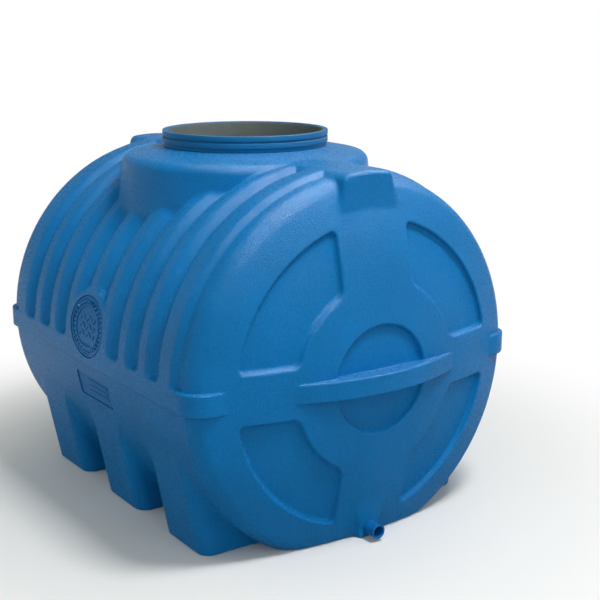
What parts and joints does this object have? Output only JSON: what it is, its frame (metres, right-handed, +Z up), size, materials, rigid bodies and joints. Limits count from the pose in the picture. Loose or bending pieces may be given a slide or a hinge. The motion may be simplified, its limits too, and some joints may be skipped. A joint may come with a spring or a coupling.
{
  "type": "horizontal storage tank",
  "caption": "Horizontal moulded plastic storage tank with ribbed barrel, dished ends, side belt, feet, open threaded neck on a round tower and a low outlet spout.",
  "frame": {"origin": "centre of the base, on the floor", "axes": "+X along the barrel towards the outlet end, +Y to the right side, +Z up"},
  "size_m": [1.6178, 1.264, 1.247],
  "materials": {
    "blue_shell": "satin moulded polyethylene",
    "collar_blue": "satin moulded polyethylene",
    "inner_layer": "grey inner layer",
    "spout_blue": "satin moulded polyethylene",
    "mark_blue": "satin moulded polyethylene"
  },
  "bodies": {
    "root": {"front_end_wall": "blue_shell", "rear_end_wall": "blue_shell", "end_ledge_front": "blue_shell", "end_ledge_rear": "blue_shell", "shoulder_front_left": "blue_shell", "shoulder_front_right": "blue_shell", "shoulder_rear_left": "blue_shell", "shoulder_rear_right": "blue_shell", "haunch_front_left": "blue_shell", "haunch_front_right": "blue_shell", "haunch_rear_left": "blue_shell", "haunch_rear_right": "blue_shell", "upper_wall_left": "blue_shell", "upper_wall_right": "blue_shell", "lower_wall_left": "blue_shell", "lower_wall_right": "blue_shell", "base_pan": "blue_shell", "side_belt_left": "blue_shell", "side_belt_right": "blue_shell", "lug_left_front": "blue_shell", "lug_left_rear": "blue_shell", "lug_right_front": "blue_shell", "lug_right_rear": "blue_shell", "crown_beam_front": "blue_shell", "crown_beam_rear": "blue_shell", "tower_wall": "blue_shell", "tower_deck": "blue_shell", "neck_collar": "collar_blue", "neck_lining": "inner_layer", "foot_left_rear": "blue_shell", "foot_left_middle": "blue_shell", "foot_left_front": "blue_shell", "foot_right_rear": "blue_shell", "foot_right_middle": "blue_shell", "foot_right_front": "blue_shell", "outlet_spout": "spout_blue", "medallion": "mark_blue", "side_plate": "mark_blue"}
  },
  "joints": []
}
